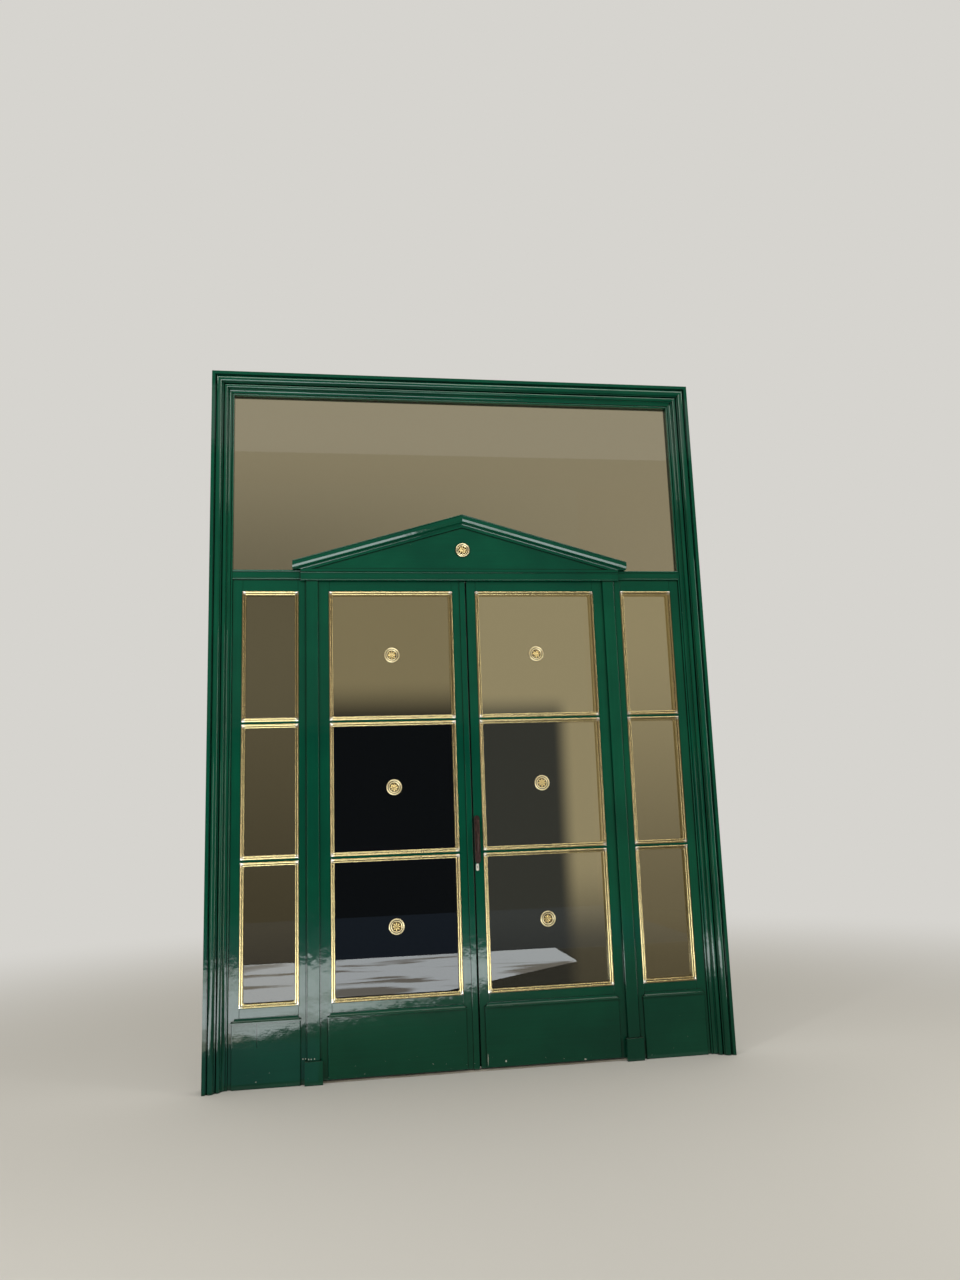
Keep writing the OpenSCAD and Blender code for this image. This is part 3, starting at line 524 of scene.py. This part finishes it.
def rosette(bm, middle, radius):
    """A cast rosette on a round plate: a broad rim, a sunk ring, an inner ring, and two rows of petals
    round a button. It faces the street, with its back at middle."""
    scale = radius / ROSETTE_RADIUS
    before = set(bm.verts)
    disc = bmesh.ops.create_circle(bm, cap_ends=True, segments=DISC_SEGMENTS, radius=ROSETTE_RADIUS)
    cap = disc["verts"][0].link_faces[0]
    side = bmesh.ops.extrude_face_region(bm, geom=[cap])
    top = [item for item in side["geom"] if isinstance(item, bmesh.types.BMFace)][0]
    # The side wall takes the dark brass: painted shade on it
    for edge in top.edges:
        for face in edge.link_faces:
            face.material_index = SUNK_AND_SHADED
    bmesh.ops.translate(bm, verts=top.verts, vec=(0, 0, ROSETTE_EDGE))
    if top.normal.z < 0:
        top.normal_flip()
    for width, rise, depth_kind in ROSETTE_STEPS:
        ring = bmesh.ops.inset_individual(bm, faces=[top], thickness=width * MM, depth=rise * MM,
                                          use_even_offset=True)
        for face in ring["faces"]:
            face.material_index = depth_kind
    top.material_index = SUNK_AND_SHADED
    floor_height = top.calc_center_median().z
    for i in range(PETALS):
        turn = i * math.tau / PETALS
        swell(bm, OUTER_PETAL, (OUTER_PETAL_REACH, 0, floor_height), turn)
        swell(bm, INNER_PETAL, (INNER_PETAL_REACH, 0, floor_height + INNER_PETAL_LIFT),
              turn + math.pi / PETALS)
    swell(bm, BUTTON, (0, 0, floor_height + BUTTON_LIFT), 0)
    made = [vert for vert in bm.verts if vert not in before]
    upright = Matrix.Rotation(math.pi / 2, 4, "X") @ Matrix.Scale(scale, 4)
    bmesh.ops.transform(bm, verts=made, matrix=Matrix.Translation(middle) @ upright)


def cast_rosettes(name, node_name, heights, body):
    """Rosettes in place of the plain ones of a node, at its own depth and width."""
    low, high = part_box(node_name)
    middle_x = (low[0] + high[0]) / 2
    bm = bmesh.new()
    for height in heights:
        rosette(bm, Vector((middle_x, high[1], height)), (high[0] - low[0]) / 2)
    piece = finish_piece(name, bm, [cast_brass, shaded_sunk_brass, petal_brass], body)
    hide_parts(node_name)


cast_rosettes("left_leaf_cast_rosettes", "left_leaf_rosettes", ROSETTE_HEIGHTS, "left_leaf")
cast_rosettes("right_leaf_cast_rosettes", "right_leaf_rosettes", ROSETTE_HEIGHTS, "right_leaf")
plain_low, plain_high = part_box("tympanum_rosette")
cast_rosettes("tympanum_cast_rosette", "tympanum_rosette", [(plain_low[2] + plain_high[2]) / 2], "screen")


# Screws: a head's height and half its slot's width as shares of its radius, and in radians the turn of a
# pair's first slot and how much further the next one is turned
HEAD_RISE = 0.35
SLOT_HALF_WIDTH = 0.22
SCREW_SEGMENTS, SCREW_RINGS = 20, 12
FIRST_SLOT_TURN, NEXT_SLOT_TURN = 0.4, 1.9
HANDLE_SCREW_RADIUS, HANDLE_SCREW_FROM_END = 4 * MM, 14 * MM
KEYHOLE_SCREW_RADIUS, KEYHOLE_SCREW_FROM_END = 2.4 * MM, 6 * MM
HANDLE_PLATE_FACE = -5 * MM


def slotted_screw(bm, middle, radius, slot_turn):
    """A raised countersunk screw head with a slot, its rim at middle and its face to the street."""
    before = set(bm.verts)
    half_slot = SLOT_HALF_WIDTH * radius
    bmesh.ops.create_uvsphere(bm, u_segments=SCREW_SEGMENTS, v_segments=SCREW_RINGS, radius=radius)
    head = [vert for vert in bm.verts if vert not in before]
    bmesh.ops.scale(bm, verts=head, vec=(1, 1, HEAD_RISE))
    for slot_side in (-half_slot, half_slot):
        edges = dict.fromkeys(edge for vert in head for edge in vert.link_edges)
        faces = dict.fromkeys(face for vert in head for face in vert.link_faces)
        bmesh.ops.bisect_plane(bm, geom=[*head, *edges, *faces], plane_co=(slot_side, 0, 0),
                               plane_no=(1, 0, 0))
        head = [vert for vert in bm.verts if vert not in before]
    for vert in head:
        if abs(vert.co.x) < half_slot / 2 and vert.co.z > 0:
            vert.co.z = 0.0
    turn = Matrix.Rotation(math.pi / 2, 4, "X") @ Matrix.Rotation(slot_turn, 4, "Z")
    bmesh.ops.transform(bm, verts=head, matrix=Matrix.Translation(middle) @ turn)


def screw_pair(name, node_name, face, radius, from_end, material):
    """Two screws near the ends of an upright plate, each slot turned as it happened to stop."""
    low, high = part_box(node_name)
    middle_x = (low[0] + high[0]) / 2
    bm = bmesh.new()
    for count, height in enumerate((low[2] + from_end, high[2] - from_end)):
        slotted_screw(bm, Vector((middle_x, face, height)), radius, FIRST_SLOT_TURN + NEXT_SLOT_TURN * count)
    finish_piece(name, bm, [material], "right_leaf")


screw_pair("pull_handle_screws", "pull_handle", HANDLE_PLATE_FACE, HANDLE_SCREW_RADIUS,
           HANDLE_SCREW_FROM_END, bronze)
screw_pair("keyhole_screws", "keyhole_plate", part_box("keyhole_plate")[0][1], KEYHOLE_SCREW_RADIUS,
           KEYHOLE_SCREW_FROM_END, nickel)


# Brushes close the gap between the leaves and the gap over them, each clear of what passes it
BRUSH_FRONT, BRUSH_BACK, BRUSH_CLEAR = 41 * MM, 48 * MM, 1.5 * MM
BRUSH_SOFT_EDGE = 1 * MM


def brush_seal(name, low, high, body):
    """A draught brush between two corners, with soft edges."""
    bm = block(low, high)
    bmesh.ops.bevel(bm, geom=bm.edges[:], offset=BRUSH_SOFT_EDGE, segments=2, profile=0.5,
                    affect="EDGES", material=-1)
    finish_piece(name, bm, [nylon], body, smooth=False)


left_stiles_low, left_stiles_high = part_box("left_leaf_stiles")
right_stiles_low, right_stiles_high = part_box("right_leaf_stiles")
rail_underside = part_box("transom_rail")[0][2]
brush_seal("meeting_brush_seal",
           Vector((left_stiles_high[0] + BRUSH_CLEAR, BRUSH_FRONT, right_stiles_low[2])),
           Vector((right_stiles_low[0], BRUSH_BACK, right_stiles_high[2])), "right_leaf")
brush_seal("head_brush_seal",
           Vector((left_stiles_low[0], BRUSH_FRONT, right_stiles_high[2] + BRUSH_CLEAR)),
           Vector((right_stiles_high[0], BRUSH_BACK, rail_underside)), "screen")


# Studio

def reflected_card(name, low, high, colour, strength=1.0, shade_line=None, dapple=None):
    """A thin card of the stage between two corners, which shows only in what gloss and glass reflect. Its
    part behind a shade_line, two places on the floor from left to right, is left out, and dapple is the
    colour of the broken shade that lies on it."""
    made, tree = new_material(name)
    light = linear(colour)
    if dapple:
        place = add(tree, "TexCoord").outputs["Object"]
        cells = add(tree, "Mapping", {"Vector": place, "Scale": [1 / size for size in DAPPLE]})
        shade = add(tree, "TexNoise", {"Vector": cells, "Scale": 1.0, "Detail": 3.0, "Distortion": 0.6})
        patch = add(tree, "MapRange", {"Value": shade, "From Min": DAPPLE_EDGE[0],
                                       "From Max": DAPPLE_EDGE[1]})
        broken = add(tree, "Mix", {0: patch, A: linear(colour), B: linear(dapple)}, data_type="RGBA")
        light = broken.outputs[RESULT]
    glow = add(tree, "Emission", {"Color": light, "Strength": strength})
    add(tree, "OutputMaterial", {"Surface": glow})

    bm = block(Vector(low), Vector(high))
    if shade_line:
        start, end = (Vector(point) for point in shade_line)
        along = end - start
        bmesh.ops.bisect_plane(bm, geom=[*bm.verts, *bm.edges, *bm.faces], plane_co=(*start, 0),
                               plane_no=(-along.y, along.x, 0), clear_outer=True)
    card = new_object(name, bm, [made])
    card.visible_camera = False
    card.visible_diffuse = False
    card.visible_shadow = False
    card.visible_transmission = False


def studio_floor():
    """A pale floor that fades into the backdrop further out."""
    made, tree = new_material("studio_floor")
    place = add(tree, "TexCoord").outputs["Object"]
    distance = add(tree, "VectorMath", {0: place}, operation="LENGTH").outputs["Value"]
    fade = add(tree, "MapRange", {"Value": distance, "From Min": FADE_FROM, "From Max": FADE_TO},
               interpolation_type="SMOOTHSTEP")
    paint = add(tree, "BsdfDiffuse", {"Color": linear(FLOOR_PALE)})
    sky = add(tree, "Emission", {"Color": linear(BACKDROP), "Strength": 1.0})
    add(tree, "OutputMaterial", {"Surface": add(tree, "MixShader", {0: fade, 1: paint, 2: sky})})

    bm = bmesh.new()
    bmesh.ops.create_circle(bm, cap_ends=True, segments=FLOOR_SEGMENTS, radius=FLOOR_RADIUS)
    new_object("floor", bm, [made])


def soft_lamp(name, place, aim, width, height, radiance, in_gloss=True):
    """An area lamp of the given radiance, at place and facing aim."""
    light = bpy.data.lights.new(name, "AREA")
    light.shape = "RECTANGLE"
    light.size = width
    light.size_y = height
    light.energy = radiance * math.pi * width * height
    lamp = bpy.data.objects.new(name, light)
    lamp.location = place
    lamp.rotation_euler = (Vector(aim) - Vector(place)).to_track_quat("-Z", "Y").to_euler()
    lamp.visible_camera = False
    lamp.visible_glossy = in_gloss
    lamp.visible_transmission = False
    bpy.context.scene.collection.objects.link(lamp)


def studio():
    """Backdrop, floor and lamps, and the surroundings that show only in reflections."""
    world = bpy.data.worlds.new("backdrop")
    world.use_nodes = True
    world.node_tree.nodes.clear()
    sky = add(world.node_tree, "Background", {"Color": linear(BACKDROP), "Strength": 1.0})
    add(world.node_tree, "OutputWorld", {"Surface": sky})
    bpy.context.scene.world = world
    studio_floor()
    soft_lamp("front_fill", (-1.0, -5.2, 5.6), (0, 0, 1.8), 4.0, 2.0, 1.6, in_gloss=False)
    soft_lamp("left_strip", (-2.7, -3.6, 2.9), (-0.4, 0, 1.9), 0.35, 3.2, 12.0, in_gloss=False)
    soft_lamp("right_strip", (3.2, -3.0, 2.2), (1.0, 0, 1.0), 0.4, 2.0, 12.0, in_gloss=False)

    # Corners in metres, colour and strength of what the photo shows in the gloss and glass
    reflected_card("dark_street", (-8.0, -8.02, -0.5), (10.0, -8.0, 2.6), "#3e4142")
    reflected_card("street_fronts", (-8.0, -8.02, 2.6), (10.0, -8.0, 6.5), "#6e7268")
    reflected_card("porch_ceiling", (-2.6, -3.5, 4.52), (2.8, -0.1, 4.54), "#6a665a")
    reflected_card("lit_ceiling", (-2.6, -0.95, 4.5), (2.8, -0.5, 4.51), "#f4f1e8", 8.0)
    reflected_card("bright_ceiling_edge", (-2.6, -2.6, 4.49), (2.8, -1.5, 4.5), "#e3e5e0", 1.2)
    reflected_card("sunlit_pillar", (-3.2, -3.62, 0.03), (-2.2, -3.6, 1.9), "#f2f1ec", 5.0)
    reflected_card("left_wall", (-2.92, -8.0, 0.03), (-2.9, 0.6, 9.0), "#6b5a48")
    reflected_card("right_wall", (2.9, -8.0, 0.03), (2.92, 0.6, 9.0), "#6b5a48")
    reflected_card("shaded_floor", (-3.5, -4.2, 0.004), (3.5, -0.07, 0.008), "#6f6a60")
    reflected_card("sunlit_paving", (-6.0, -4.2, 0.01), (1.4, -0.3, 0.02), "#e2e8ea", 9.0,
                   shade_line=((-1.558, -0.998), (-0.294, -2.0)), dapple="#8f8a80")
    reflected_card("open_shade", (-3.5, -1.0, 0.012), (-0.85, -0.07, 0.016), "#7fa4a6", 0.9)
    reflected_card("sunlit_jamb", (2.8, -0.55, 0.03), (2.82, -0.12, 3.2), "#f2f1ec", 8.0)
    reflected_card("dark_road", (-8.0, -8.0, 0.01), (10.0, -4.2, 0.02), "#6a7b90")


def camera():
    """The camera that took the photograph."""
    data = bpy.data.cameras.new("camera")
    data.sensor_width = SENSOR_MM
    data.lens = FOCAL_PIXELS / LONG_SIDE_PIXELS * SENSOR_MM
    made = bpy.data.objects.new("camera", data)
    turn = (Matrix.Rotation(CAMERA_YAW, 4, "Z") @ Matrix.Rotation(CAMERA_PITCH, 4, "X")
            @ Matrix.Rotation(CAMERA_ROLL, 4, "Y") @ Matrix.Rotation(math.radians(90), 4, "X"))
    made.matrix_world = Matrix.Translation(CAMERA_PLACE) @ turn
    bpy.context.scene.collection.objects.link(made)
    bpy.context.scene.camera = made


studio()
camera()
bpy.context.scene.view_settings.view_transform = "Standard"
